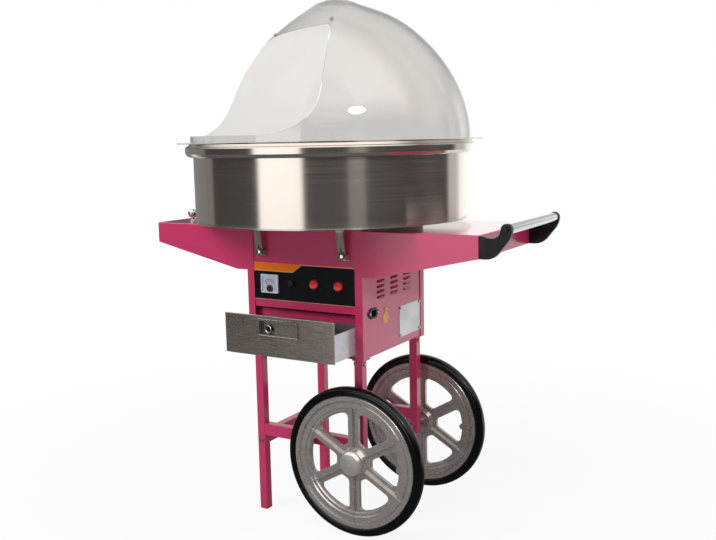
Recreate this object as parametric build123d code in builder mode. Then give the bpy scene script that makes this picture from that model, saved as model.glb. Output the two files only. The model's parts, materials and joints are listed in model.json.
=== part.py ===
"""Electric cotton candy machine with a bubble dome, on a two-wheeled cart.

Frame: millimetres, +Z up from the floor, -Y is the drawer side, +X is the push handle's end.
The origin is on the floor, in the middle of the whole part's length.
"""

import os
from math import acos, atan2, cos, degrees, radians, sin, sqrt

from build123d import *

os.makedirs("parts", exist_ok=True)

# ---------------------------------------------------------------- driving sizes
sheet = 1.5  # folded steel sheet of trays and panels
slide_gap = 0.3  # between pieces that move past each other or lift off

body_width = 330.0  # over the corner posts, along X
body_depth = 320.0  # over the corner posts, along Y
body_floor_z = 425.0
latch_zone = 88.0  # of the fascia between the control panel's film and the trays' top

post_flange = 20.0
post_wall = 2.0
stub_side = 18.4
stub_drop = 34.0  # of the stub below the body
gusset_side = 32.0
gusset_thick = 3.0

leg_side = 22.0
leg_wall = 1.5
leg_inset_x = 8.5
leg_inset_y = 7.0
short_leg_below = 20.5  # of the short legs below the axle
rail_height = 30.0
rail_deep = 20.0
rail_wall = 1.5
cross_rail_rise = 16.5  # underside of the front and rear rails over the axle
side_rail_z = 175.0  # underside of the left rail
side_bolt_rise = 9.0  # of the left rail's bolts over its underside

tray_out = 83.0  # of the trays' ends beyond the bowl's rim
tray_rim_drop = 51.0
tray_root_drop = 109.0
tray_root_flat = 32.0
tray_bend = 3.0

handle_plate = 10.0
knob_out = 16.0  # of the tray knob's middle beyond the bowl's rim
knob_y = -98.0
knob_r = 12.0
knob_stem_r = 4.0
knob_neck = 8.0

handle_bar_r = 11.0
handle_bar_out = 61.5  # bar axis beyond the tray's end
handle_bar_rise = 14.5  # bar axis over the trays
knuckle_wall = 1.5  # of the bracket round the bar
bar_bolt_deep = 18.0  # into each end of the bar

wheel_r = 182.5
tyre_high = 20.6
wheel_width = 28.0
axle_r = 6.0
axle_inboard = 22.0  # axle centre inside the post's outer face
running = 0.05  # radial clearance of shafts and hubs
front_spacer = 6.0
rear_spacer = 18.0
hub_r = 30.0
spoke_count = 6
spoke_wide = 28.0
window_margin = 40.9  # of the windows inside the rim's edge

bowl_shift = -12.0  # bowl axis from the middle of the body, along X
bowl_r = 341.0
bowl_sheet = 1.2
bowl_rim_out = 19.0  # of the rolled rim beyond the wall
bowl_stand = 14.3  # of the bowl's floor over the trays
bowl_depth = 187.7
bowl_bead_height = 31.0
bowl_lip = 9.0  # of the floor's edge beyond the wall
bowl_collar_gap = 18.0  # round the spinning head
bowl_collar_height = 26.0

dome_over_bowl = 6.0  # of the dome's wall beyond the bowl's
dome_wall = 3.0
dome_flange_out = 31.0
dome_spring_rise = 4.0  # of the dome's curve over the bowl's rim
dome_rise = 337.0
dome_roundness = 1.9  # exponent of the dome's curve, 2 is an ellipse
opening_heading = -122.85  # degrees, where the cut-out faces
visor_out = 82.5  # lower ends of the visor from the bowl axis
visor_half = 196.0
visor_rise = 260.0  # of the visor's lower edge over the start of the curve
visor_slope = 37.7  # degrees below level
visor_crown = 16.8  # rise of the visor's middle over its ends
opening_edge_r = 600.0  # of the long bend of the side edges
opening_edge_slope = 73.0  # degrees, at the lower end of that bend
opening_corner_r = 128.0
dome_ring_high = 15.0

drawer_margin = 11.5  # of the body beyond the drawer front on each side
drawer_low_rise = 16.5  # of the drawer front over the body's floor
drawer_high = 96.5
drawer_front_thick = 2.5
drawer_open = 106.5  # how far out it stands in the rest pose
drawer_tray_long = 292.0
drawer_tray_high = 63.5
drawer_tray_gap = 1.0  # to the post flange on each side

bay_roof_gap = 4.0  # over the drawer's tray
bay_lip_high = 19.5
overlay_rise = 17.5  # over the fascia's lower edge
overlay_high = 93.5
overlay_thick = 1.0

meter_x = -97.0
meter_rise = 41.5  # of the meter's middle over the overlay's lower edge
meter_wide = 50.0
meter_high = 45.5
fuse_x = -32.6
switch_left_x = 32.7
switch_right_x = 100.7
switch_rise = 47.0  # of the switches' middle over the overlay's lower edge
switch_hole_r = 12.7
rocker_r = 11.6
rocker_pin_r = 0.8
fuse_hole_r = 6.3
latch_margin = 47.0  # of the body beyond each latch's middle
latch_wide = 19.0
latch_drop = 63.0  # of the latch pivots below the trays' top
latch_pivot_out = 9.0  # pivot axis in front of the fascia

louvre_columns = 3
louvre_rows = 4
louvre_pitch_y = 68.0
louvre_pitch_z = 12.8
louvre_drop = 168.0  # of the lowest row below the trays' top
louvre_long = 38.0
inlet_inset = 51.0  # from the drawer side of the body
inlet_rise = 107.0
tag_y = -47.0
tag_rise = 86.0
tag_r = 14.0
plate_inset = 77.5  # from the rear of the body
plate_rise = 60.5
plate_long = 115.0
plate_high = 79.0
plate_thick = 0.8

motor_r = 46.0
motor_high = 96.0
motor_drop = 44.0  # of the motor's top below the trays' top
spindle_r = 6.0
slip_ring_r = 15.0
head_r = 62.0
head_rise = 63.7  # over the bowl's floor
head_high = 56.0

# ---------------------------------------------------------------- derived places
half_w = body_width / 2
half_d = body_depth / 2
drawer_low_z = body_floor_z + drawer_low_rise
drawer_high_z = drawer_low_z + drawer_high
fascia_low_z = drawer_high_z - 2 * sheet
overlay_low_z = fascia_low_z + overlay_rise
overlay_high_z = overlay_low_z + overlay_high
table_z = overlay_high_z + latch_zone  # top of both side trays
bowl_rim_r = bowl_r + bowl_rim_out
tray_end = bowl_rim_r - bowl_shift + tray_out
knob_x = bowl_shift - bowl_rim_r - knob_out
knuckle_r = handle_bar_r + knuckle_wall
handle_reach = handle_bar_out + knuckle_r
handle_bar_z = table_z + handle_bar_rise
cart_x = -handle_reach / 2  # middle of the body
panel_x = half_w - post_wall  # outer face of a side panel from the middle
panel_y = half_d - post_wall
front_y = -panel_y  # outer face of the fascia
overlay_y = front_y - overlay_thick
leg_x = half_w - leg_inset_x - leg_side / 2
leg_y = half_d - leg_inset_y - leg_side / 2
bowl_x = cart_x + bowl_shift
axle_x = cart_x + half_w - axle_inboard
axle_z = wheel_r
rim_r = wheel_r - tyre_high
window_r = rim_r - window_margin
short_leg_foot_z = axle_z - short_leg_below
cross_rail_z = axle_z + cross_rail_rise
bowl_floor_z = table_z + bowl_stand
bowl_rim_z = bowl_floor_z + bowl_depth
bowl_collar_r = head_r + bowl_collar_gap
top_plate_z = bowl_floor_z - slide_gap
dome_r = bowl_r + dome_over_bowl
dome_flange_r = dome_r + dome_flange_out
dome_spring_z = bowl_rim_z + dome_spring_rise
dome_ring_z = dome_spring_z + dome_ring_high
visor_low_z = dome_spring_z + visor_rise
drawer_width = body_width - 2 * drawer_margin
drawer_tray_high_z = drawer_low_z + drawer_tray_high
drawer_front_y = -half_d - drawer_front_thick - drawer_open
bay_roof_z = drawer_tray_high_z + bay_roof_gap
meter_z = overlay_low_z + meter_rise
switch_z = overlay_low_z + switch_rise
latch_x = half_w - latch_margin
latch_pivot_z = table_z - latch_drop
louvre_low_z = table_z - louvre_drop
inlet_y = inlet_inset - half_d
inlet_z = body_floor_z + inlet_rise
tag_z = body_floor_z + tag_rise
plate_y = half_d - plate_inset
plate_z = body_floor_z + plate_rise
motor_top_z = table_z - motor_drop
head_low_z = bowl_floor_z + head_rise
head_high_z = head_low_z + head_high
frame_bolt_r = 3.0
bolt_gap = 0.1


def cart_plane(x, y, z):
    """A level plane at a place counted from the middle of the body."""
    return Plane(origin=(cart_x + x, y, z))


def facing_front(x, y, z):
    """A plane looking out of the drawer side: local X runs along X, local Y is up."""
    return Plane(origin=(cart_x + x, y, z), x_dir=(1, 0, 0), z_dir=(0, -1, 0))


def facing_right(x, y, z):
    """A plane looking out of the handle's end: local X runs along Y, local Y is up."""
    return Plane(origin=(cart_x + x, y, z), x_dir=(0, 1, 0), z_dir=(1, 0, 0))


def save(part, name):
    part.label = name
    export_step(part, f"parts/{name}.step")


# ---------------------------------------------------------------- side trays
def make_tray(side):
    """A folded tray open below; side is -1 for the left one and 1 for the one with the handle."""
    root = side * half_w
    tip = side * tray_end
    plane = facing_front(0, 0, 0)
    with BuildPart() as tray:
        with BuildSketch(plane):
            with BuildLine():
                Polyline(
                    (root, table_z),
                    (tip, table_z),
                    (tip, table_z - tray_rim_drop),
                    (root + side * tray_root_flat, table_z - tray_root_drop),
                    (root, table_z - tray_root_drop),
                    close=True,
                )
            make_face()
        extrude(amount=half_d, both=True)
        tip_edges = tray.edges().filter_by(Axis.Z).sort_by(Axis.X)
        fillet(tip_edges[-2:] if side > 0 else tip_edges[:2], tray_bend)
        fillet(tray.faces().sort_by(Axis.Z)[-1].outer_wire().edges().filter_by(Axis.X), tray_bend)
        with BuildSketch(plane):
            with BuildLine():
                Polyline(
                    (root + side * sheet, table_z - sheet),
                    (tip - side * sheet, table_z - sheet),
                    (tip - side * sheet, table_z - 2 * tray_root_drop),
                    (root + side * sheet, table_z - 2 * tray_root_drop),
                    close=True,
                )
            make_face()
        extrude(amount=half_d - sheet, both=True, mode=Mode.SUBTRACT)
        if side > 0:
            for end in (-1, 1):
                for z in handle_screw_zs:
                    with Locations(facing_right(tip, end * handle_screw_y, z)):
                        Cylinder(handle_screw_r + bolt_gap, 4 * sheet, mode=Mode.SUBTRACT)
        else:
            with Locations(cart_plane(knob_x, knob_y, table_z)):
                Cylinder(knob_stem_r + bolt_gap, 4 * sheet, mode=Mode.SUBTRACT)
    return tray.part


handle_screw_r = 2.5
handle_screw_y = half_d - handle_plate / 2
handle_screw_zs = (table_z - 36.0, table_z - 14.0)

save(make_tray(-1), "tray_left")
save(make_tray(1), "tray_right")

with BuildPart() as tray_knob:
    with BuildSketch(facing_front(knob_x, knob_y, table_z)) as profile:
        with BuildLine():
            neck_top = knob_neck + knob_r - sqrt(knob_r**2 - (knob_stem_r + 1) ** 2)
            Polyline((0, -10), (knob_stem_r, -10), (knob_stem_r, 0), (knob_r - 3, 0), (knob_r - 3, 2))
            Polyline((knob_r - 3, 2), (knob_stem_r + 1, 4), (knob_stem_r + 1, neck_top))
            ThreePointArc((knob_stem_r + 1, neck_top), (knob_r, knob_neck + knob_r), (0, knob_neck + 2 * knob_r))
            Line((0, knob_neck + 2 * knob_r), (0, -10))
        make_face()
    revolve(axis=Axis((cart_x + knob_x, knob_y, 0), (0, 0, 1)))
save(tray_knob.part, "tray_knob")


# ---------------------------------------------------------------- corner posts and legs
def each_corner():
    for sx in (-1, 1):
        for sy in (-1, 1):
            yield sx, sy


leg_bolt_z = body_floor_z - 11.0

with BuildPart() as corner_posts:
    for sx, sy in each_corner():
        corner = cart_plane(sx * half_w, sy * half_d, body_floor_z)
        with BuildSketch(corner):
            with Locations((-sx * post_flange / 2, -sy * post_flange / 2)):
                Rectangle(post_flange, post_flange)
            inner = (post_flange + post_wall) / 2
            with Locations((-sx * inner, -sy * inner)):
                Rectangle(post_flange - post_wall, post_flange - post_wall, mode=Mode.SUBTRACT)
        extrude(amount=table_z - body_floor_z)
        with BuildSketch(corner):
            with Locations((-sx * gusset_side / 2, -sy * gusset_side / 2)):
                Rectangle(gusset_side, gusset_side)
        extrude(amount=gusset_thick)
        with BuildSketch(cart_plane(sx * leg_x, sy * leg_y, body_floor_z)):
            Rectangle(stub_side, stub_side)
        extrude(amount=-stub_drop)
        with Locations(facing_right(sx * leg_x, sy * leg_y, leg_bolt_z)):
            Cylinder(frame_bolt_r + bolt_gap, leg_side, mode=Mode.SUBTRACT)
save(corner_posts.part, "corner_posts")

rail_bolt_z = side_rail_z + side_bolt_rise


def make_leg(sx, sy):
    foot_z = 0.0 if sx < 0 else short_leg_foot_z
    with BuildPart() as leg:
        with BuildSketch(cart_plane(sx * leg_x, sy * leg_y, foot_z)):
            RectangleRounded(leg_side, leg_side, 1.5)
            Rectangle(leg_side - 2 * leg_wall, leg_side - 2 * leg_wall, mode=Mode.SUBTRACT)
        extrude(amount=body_floor_z - foot_z)
        with Locations(facing_right(sx * leg_x, sy * leg_y, leg_bolt_z)):
            Cylinder(frame_bolt_r + bolt_gap, 2 * leg_side, mode=Mode.SUBTRACT)
        if sx < 0:
            with Locations(facing_front(sx * leg_x, sy * leg_y, rail_bolt_z)):
                Cylinder(frame_bolt_r + bolt_gap, 2 * leg_side, mode=Mode.SUBTRACT)
        else:
            with Locations(facing_front(axle_x - cart_x, sy * leg_y, axle_z)):
                Cylinder(axle_r + running, 2 * leg_side, mode=Mode.SUBTRACT)
    return leg.part


for sx, sy in each_corner():
    ends = ("front" if sy < 0 else "rear", "left" if sx < 0 else "right")
    save(make_leg(sx, sy), "leg_" + "_".join(ends))


def make_rail(along_x, x, y, low_z, length):
    """A rectangular tube between two legs."""
    middle_z = low_z + rail_height / 2
    with BuildPart() as rail:
        with BuildSketch(facing_right(x, y, middle_z) if along_x else facing_front(x, y, middle_z)):
            Rectangle(rail_deep, rail_height)
            Rectangle(rail_deep - 2 * rail_wall, rail_height - 2 * rail_wall, mode=Mode.SUBTRACT)
        extrude(amount=length / 2, both=True)
    return rail.part


between_x = 2 * leg_x - leg_side
between_y = 2 * leg_y - leg_side
save(make_rail(True, 0, -leg_y, cross_rail_z, between_x), "rail_front")
save(make_rail(True, 0, leg_y, cross_rail_z, between_x), "rail_rear")

with BuildPart() as rail_left:
    add(make_rail(False, -leg_x, 0, side_rail_z, between_y))
    for sy in (-1, 1):
        plate_at = sy * (between_y - rail_wall) / 2
        with Locations(facing_front(-leg_x, plate_at, side_rail_z + rail_height / 2)):
            Box(rail_deep - rail_wall, rail_height - rail_wall, rail_wall)
        with Locations(facing_front(-leg_x, plate_at, rail_bolt_z)):
            Cylinder(frame_bolt_r + bolt_gap, 4 * rail_wall, mode=Mode.SUBTRACT)
save(rail_left.part, "rail_left")


def add_bolt(plane, shank_long, radius, head_r, head_high):
    """A bolt whose head stands on the plane and whose shank runs down from it."""
    with BuildSketch(plane) as shank:
        Circle(radius)
    extrude(shank.sketch, amount=-shank_long)
    with BuildSketch(plane) as head:
        RegularPolygon(head_r, 6)
    extrude(head.sketch, amount=head_high)


with BuildPart() as frame_bolts:
    nut_high = 5.0
    for sx, sy in each_corner():
        add_bolt(
            facing_right(leg_x + leg_side / 2, sy * leg_y, leg_bolt_z)
            if sx > 0
            else Plane(
                origin=(cart_x - leg_x - leg_side / 2, sy * leg_y, leg_bolt_z), x_dir=(0, 1, 0), z_dir=(-1, 0, 0)
            ),
            leg_side,
            frame_bolt_r,
            5.5,
            4.0,
        )
        with BuildSketch(
            Plane(origin=(cart_x + sx * (leg_x - leg_side / 2), sy * leg_y, leg_bolt_z), z_dir=(-sx, 0, 0))
        ):
            RegularPolygon(5.5, 6)
        extrude(amount=nut_high)
    for sy in (-1, 1):
        add_bolt(
            Plane(origin=(cart_x - leg_x, sy * (leg_y + leg_side / 2), rail_bolt_z), z_dir=(0, sy, 0)),
            leg_side + 2 * rail_wall,
            frame_bolt_r,
            5.5,
            4.0,
        )
save(frame_bolts.part, "frame_bolts")

# ---------------------------------------------------------------- push handle
bar_x = tray_end + handle_bar_out


def make_handle_bracket(end):
    """A flat bracket whose top dips behind the tray and rises round the bar."""
    plane = facing_front(0, end * half_d if end < 0 else half_d - handle_plate, 0)
    low_z = table_z - tray_rim_drop
    with BuildPart() as bracket:
        with BuildSketch(plane):
            with BuildLine():
                top = Line((tray_end, table_z - 1), (tray_end + 5, table_z - 1))
                dip = Spline(
                    top @ 1,
                    (tray_end + 22, table_z - 5),
                    (bar_x - knuckle_r, handle_bar_z),
                    tangents=((1, -0.2), (0.1, 1)),
                )
                crown = RadiusArc(dip @ 1, (bar_x + knuckle_r, handle_bar_z), knuckle_r)
                back = Spline(
                    crown @ 1,
                    (bar_x + knuckle_r - 19, table_z - 24),
                    (tray_end + 14, low_z),
                    tangents=((0, -1), (-1, 0)),
                )
                Line(back @ 1, (tray_end, low_z))
                Line((tray_end, low_z), top @ 0)
            make_face()
        extrude(amount=-handle_plate)
        with Locations(facing_front(bar_x, end * half_d, handle_bar_z)):
            Cylinder(frame_bolt_r + bolt_gap, 4 * handle_plate, mode=Mode.SUBTRACT)
        for z in handle_screw_zs:
            with Locations(facing_right(tray_end, end * handle_screw_y, z)):
                Cylinder(handle_screw_r + bolt_gap, 24, mode=Mode.SUBTRACT)
    return bracket.part


save(make_handle_bracket(-1), "handle_bracket_front")
save(make_handle_bracket(1), "handle_bracket_rear")

bar_half = half_d - handle_plate
with BuildPart() as handle_bar:
    with BuildSketch(facing_front(bar_x, 0, handle_bar_z)):
        Circle(handle_bar_r)
    extrude(amount=bar_half, both=True)
    with Locations(facing_front(bar_x, -bar_half, handle_bar_z), facing_front(bar_x, bar_half, handle_bar_z)):
        Cylinder(frame_bolt_r + bolt_gap, 2 * bar_bolt_deep + 4, mode=Mode.SUBTRACT)
save(handle_bar.part, "handle_bar")

with BuildPart() as handle_bolts:
    for end in (-1, 1):
        add_bolt(
            Plane(origin=(cart_x + bar_x, end * half_d, handle_bar_z), z_dir=(0, end, 0)),
            handle_plate + bar_bolt_deep,
            frame_bolt_r,
            5.5,
            4.0,
        )
        for z in handle_screw_zs:
            add_bolt(
                Plane(origin=(cart_x + tray_end - sheet, end * handle_screw_y, z), z_dir=(-1, 0, 0)),
                11,
                handle_screw_r,
                4.0,
                2.5,
            )
save(handle_bolts.part, "handle_bolts")

# ---------------------------------------------------------------- wheels
leg_face_y = leg_y + leg_side / 2
wheel_front_y = -(leg_face_y + front_spacer + wheel_width / 2)
wheel_rear_y = leg_face_y + rear_spacer + wheel_width / 2
wheel_side = slide_gap


def wheel_plane(end):
    """The wheel's middle plane: local Z points out, local Y is up."""
    y = wheel_front_y if end < 0 else wheel_rear_y
    return Plane(origin=(axle_x, y, axle_z), x_dir=(-end, 0, 0), z_dir=(0, end, 0))


def profile_plane(end):
    """A plane through the wheel's axis: local X is the radius, local Y points out."""
    wheel = wheel_plane(end)
    return Plane(origin=wheel.origin, x_dir=wheel.x_dir, z_dir=-wheel.y_dir)


def axle_axis():
    return Axis((axle_x, 0, axle_z), (0, 1, 0))


half_wide = wheel_width / 2
web_half = 4.5
rings = ((rim_r - 37.9, 7.5), (rim_r - 28.9, 10.5), (rim_r - 15.9, 8.5), (rim_r - 11.9, half_wide - 1.0))
rib_end = rings[-1][0] - 2.0


def make_rim(end, valve_angle):
    with BuildPart() as rim:
        with BuildSketch(profile_plane(end)):
            with BuildLine():
                outline = [(axle_r + running, half_wide), (hub_r, half_wide), (hub_r + 6, web_half)]
                height = web_half
                for ring_r, ring_height in rings:
                    outline += [(ring_r - 1.0, height), (ring_r + 1.0, ring_height)]
                    height = ring_height
                outline += [(rim_r - 1.5, height), (rim_r, height - 1.5)]
                mirrored = [(r, -h) for r, h in reversed(outline)]
                Polyline(*outline, *mirrored, close=True)
            make_face()
        revolve(axis=axle_axis())
        with BuildSketch(wheel_plane(end)) as windows:
            Circle(window_r)
            Circle(hub_r + 17, mode=Mode.SUBTRACT)
            with PolarLocations(window_r / 2, spoke_count, start_angle=90):
                Rectangle(window_r + 20, spoke_wide, mode=Mode.SUBTRACT)
            fillet(windows.vertices(), 10.5)
            with PolarLocations(window_r, 1, start_angle=valve_angle):
                Circle(8, mode=Mode.SUBTRACT)
        extrude(amount=half_wide, both=True, mode=Mode.SUBTRACT)
        with BuildSketch(wheel_plane(end)):
            with PolarLocations((hub_r + rib_end) / 2, spoke_count, start_angle=90):
                Rectangle(rib_end - hub_r, 3.0)
        extrude(amount=half_wide - 2.5, both=True)
    return rim.part


def make_tyre(end):
    crown = half_wide - 4.0
    inner = rim_r + 0.1
    with BuildPart() as tyre:
        with BuildSketch(profile_plane(end)):
            with BuildLine():
                Polyline(
                    (inner + 7, -half_wide), (inner, 1.5 - half_wide), (inner, half_wide - 1.5), (inner + 7, half_wide)
                )
                SagittaArc((inner + 7, half_wide), (wheel_r - 1.0, crown), -1.8)
                SagittaArc((wheel_r - 1.0, crown), (wheel_r - 1.0, -crown), -1.0)
                SagittaArc((wheel_r - 1.0, -crown), (inner + 7, -half_wide), -1.8)
            make_face()
        revolve(axis=axle_axis())
    return tyre.part


cap_high = 13.0
cap_edge = hub_r - 6.0
cap_rise = 2.0
cap_round = (cap_edge**2 + cap_rise**2) / (2 * cap_rise)
axle_end = 4.0  # of the axle beyond the rim's hub


def make_hub_cap(end):
    with BuildPart() as cap:
        with BuildSketch(profile_plane(end)):
            with BuildLine():
                Polyline((0, half_wide + 7), (11, half_wide + 7), (11, half_wide), (hub_r - 1, half_wide))
                Line((hub_r - 1, half_wide), (hub_r - 1, half_wide + 6))
                Line((hub_r - 1, half_wide + 6), (cap_edge, half_wide + cap_high - cap_rise))
                RadiusArc(
                    (cap_edge, half_wide + cap_high - cap_rise), (0, half_wide + cap_high), -cap_round
                )
                Line((0, half_wide + cap_high), (0, half_wide + 7))
            make_face()
        revolve(axis=axle_axis())
    return cap.part


for end, name, valve_angle in ((-1, "front", 0), (1, "rear", 180)):
    save(make_rim(end, valve_angle), f"wheel_rim_{name}")
    save(make_tyre(end), f"tyre_{name}")
    save(make_hub_cap(end), f"hub_cap_{name}")

with BuildPart() as axle:
    front_end = wheel_front_y - half_wide - axle_end
    rear_end = wheel_rear_y + half_wide + axle_end
    with BuildSketch(Plane(origin=(axle_x, front_end, axle_z), z_dir=(0, 1, 0))):
        Circle(axle_r)
    extrude(amount=rear_end - front_end)
    for end, spacer in ((-1, front_spacer), (1, rear_spacer)):
        with BuildSketch(Plane(origin=(axle_x, end * leg_face_y, axle_z), z_dir=(0, end, 0))):
            Circle(2 * axle_r)
        extrude(amount=spacer - wheel_side)
save(axle.part, "axle")


# ---------------------------------------------------------------- body panels
def add_holes(places, plane_of, radius, depth):
    for place in places:
        with Locations(plane_of(*place)):
            Cylinder(radius, depth, mode=Mode.SUBTRACT)


screw_r = 2.0
plate_screws = [
    (plate_y + sy * (plate_long / 2 - 5), plate_z + sz * (plate_high / 2 - 5)) for sy in (-1, 1) for sz in (-1, 1)
]
tag_screw = (tag_y, tag_z + tag_r + 7)
inlet_screws = [(inlet_y + s * 18.5, inlet_z) for s in (-1, 1)]
right_face = [(panel_x, y, z) for y, z in plate_screws + inlet_screws + [tag_screw]]
inlet_wide = 27.0
inlet_high = 20.0


def make_side_panel(side):
    middle = side * (panel_x - sheet / 2)
    high = table_z - body_floor_z
    with BuildPart() as panel:
        with BuildSketch(facing_right(middle, 0, body_floor_z + gusset_thick + (high - gusset_thick) / 2)):
            Rectangle(2 * panel_y, high - gusset_thick)
        extrude(amount=sheet / 2, both=True)
        if side > 0:
            with BuildSketch(facing_right(panel_x, 0, louvre_low_z)):
                with GridLocations(louvre_pitch_y, louvre_pitch_z, louvre_columns, louvre_rows):
                    with Locations((0, (louvre_rows - 1) * louvre_pitch_z / 2)):
                        SlotOverall(louvre_long, 7.0)
            extrude(amount=-sheet, mode=Mode.SUBTRACT)
            for column in range(louvre_columns):
                for row in range(louvre_rows):
                    y = (column - (louvre_columns - 1) / 2) * louvre_pitch_y
                    z = louvre_low_z + row * louvre_pitch_z
                    with BuildSketch(facing_front(panel_x, y + louvre_long / 2 - 3, z)):
                        with BuildLine():
                            Polyline((-sheet, 2.6), (0.2, 3.6), (3.4, -0.6), (2.6, -1.4), (-sheet, 2.0), close=True)
                        make_face()
                    extrude(amount=louvre_long - 6)
            with Locations(facing_right(panel_x, inlet_y, inlet_z)):
                Box(inlet_wide + 1, inlet_high + 1, 4 * sheet, mode=Mode.SUBTRACT)
            add_holes(right_face, facing_right, screw_r + bolt_gap, 4 * sheet)
    return panel.part


save(make_side_panel(-1), "side_panel_left")
save(make_side_panel(1), "side_panel_right")

inside_w = panel_x - sheet  # half the free width between the side panels
with BuildPart() as back_panel:
    with BuildSketch(facing_front(0, panel_y - sheet, (table_z + body_floor_z + gusset_thick) / 2)):
        Rectangle(2 * inside_w, table_z - body_floor_z - gusset_thick)
    extrude(amount=-sheet)
save(back_panel.part, "back_panel")

with BuildPart() as floor_pan:
    with BuildSketch(cart_plane(0, -sheet / 2, body_floor_z + gusset_thick)):
        Rectangle(2 * inside_w, 2 * panel_y - sheet)
    extrude(amount=sheet)
save(floor_pan.part, "floor_pan")

bay_lip_y = -half_d + 18.0
with BuildPart() as bay_roof:
    with BuildSketch(facing_right(0, 0, 0)):
        with BuildLine():
            Polyline(
                (bay_lip_y, bay_roof_z),
                (bay_lip_y, bay_roof_z + bay_lip_high),
                (bay_lip_y + sheet, bay_roof_z + bay_lip_high),
                (bay_lip_y + sheet, bay_roof_z + sheet),
                (panel_y - sheet, bay_roof_z + sheet),
                (panel_y - sheet, bay_roof_z),
                close=True,
            )
        make_face()
    extrude(amount=inside_w, both=True)
save(bay_roof.part, "bay_roof")

front_holes = [
    (meter_x, front_y, meter_z, 19.5),
    (fuse_x, front_y, switch_z, fuse_hole_r + bolt_gap),
    (switch_left_x, front_y, switch_z, switch_hole_r + bolt_gap),
    (switch_right_x, front_y, switch_z, switch_hole_r + bolt_gap),
]


def cut_front_holes():
    for x, y, z, radius in front_holes:
        with Locations(facing_front(x, y, z)):
            Cylinder(radius, 6 * sheet, mode=Mode.SUBTRACT)


with BuildPart() as front_fascia:
    with BuildSketch(facing_front(0, front_y, (fascia_low_z + table_z) / 2)):
        Rectangle(2 * inside_w, table_z - fascia_low_z)
    extrude(amount=-sheet)
    cut_front_holes()
save(front_fascia.part, "front_fascia")

overlay_half = half_w - post_flange - 0.2
with BuildPart() as control_panel:
    with BuildSketch(facing_front(0, front_y, (overlay_low_z + overlay_high_z) / 2)):
        Rectangle(2 * overlay_half, overlay_high_z - overlay_low_z)
    extrude(amount=overlay_thick)
    cut_front_holes()
save(control_panel.part, "control_panel")

top_hole_r = 24.0
with BuildPart() as top_plate:
    with BuildSketch(cart_plane(0, 0, table_z)):
        RectangleRounded(body_width, body_depth, 3)
    extrude(amount=top_plate_z - table_z)
    with BuildSketch(cart_plane(0, 0, table_z)):
        Rectangle(body_width - 2 * sheet, body_depth - 2 * sheet)
    extrude(amount=top_plate_z - table_z - sheet, mode=Mode.SUBTRACT)
    with Locations(cart_plane(bowl_shift, 0, top_plate_z)):
        Cylinder(top_hole_r, 6 * sheet, mode=Mode.SUBTRACT)
save(top_plate.part, "top_plate")

# ---------------------------------------------------------------- meter, fuse and switches
meter_deep = 5.0
dial_recess = 2.6
with BuildPart() as voltmeter:
    with BuildSketch(facing_front(meter_x, overlay_y, meter_z)):
        RectangleRounded(meter_wide, meter_high, 2)
    extrude(amount=meter_deep)
    with BuildSketch(facing_front(meter_x, overlay_y, meter_z)):
        Circle(19.0)
    extrude(amount=-32)
    with BuildSketch(facing_front(meter_x, overlay_y - meter_deep, meter_z)):
        RectangleRounded(meter_wide - 5, meter_high - 5, 1.5)
    extrude(amount=-dial_recess, mode=Mode.SUBTRACT)
save(voltmeter.part, "voltmeter")

needle_z = meter_z - 8.0
needle_y = overlay_y - meter_deep + dial_recess
needle_long = 20.0
with BuildPart() as voltmeter_needle:
    with BuildSketch(facing_front(meter_x, needle_y - slide_gap, needle_z)):
        Circle(3.0)
        with Locations(Location((0, 0), 135)):
            with Locations((needle_long / 2, 0)):
                Rectangle(needle_long, 1.0)
    extrude(amount=0.8)
save(voltmeter_needle.part, "voltmeter_needle")

fuse_tube_r = 5.2
fuse_seat_y = overlay_y - 1.5
with BuildPart() as fuse_holder:
    with BuildSketch(facing_front(fuse_x, overlay_y, switch_z)):
        Circle(9.0)
    extrude(amount=1.5)
    with BuildSketch(facing_front(fuse_x, overlay_y, switch_z)):
        Circle(fuse_hole_r)
    extrude(amount=-34)
    with BuildSketch(facing_front(fuse_x, fuse_seat_y, switch_z)):
        Circle(fuse_tube_r)
    extrude(amount=-30, mode=Mode.SUBTRACT)
save(fuse_holder.part, "fuse_holder")

with BuildPart() as fuse_cap:
    with BuildSketch(facing_front(fuse_x, fuse_seat_y - 0.1, switch_z)):
        Circle(7.5)
    extrude(amount=8)
    fillet(fuse_cap.edges().sort_by(Axis.Y)[0], 1.5)
    with BuildSketch(facing_front(fuse_x, fuse_seat_y - 0.1, switch_z)):
        Circle(fuse_tube_r - running)
    extrude(amount=-24)
    with BuildSketch(facing_front(fuse_x, fuse_seat_y - 8.1, switch_z)):
        Rectangle(11, 1.6)
    extrude(amount=-2, mode=Mode.SUBTRACT)
save(fuse_cap.part, "fuse_cap")

switch_bore_r = rocker_r + slide_gap
switch_deep = 22.0
rocker_y = overlay_y - 1.0  # rocker pivot
with BuildPart() as switch_frames:
    for x in (switch_left_x, switch_right_x):
        with BuildSketch(facing_front(x, overlay_y, switch_z)):
            Circle(14.2)
        extrude(amount=2)
        with BuildSketch(facing_front(x, overlay_y, switch_z)):
            Circle(switch_hole_r)
        extrude(amount=-switch_deep)
        with BuildSketch(facing_front(x, overlay_y - 2, switch_z)):
            Circle(switch_bore_r)
        extrude(amount=-switch_deep, mode=Mode.SUBTRACT)
        with Locations(facing_right(x, rocker_y, switch_z)):
            Cylinder(rocker_pin_r + running, 2 * (switch_bore_r + 1.3), mode=Mode.SUBTRACT)
save(switch_frames.part, "switch_frames")

rocker_tilt = 10.0
rocker_proud = 5.0


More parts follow.
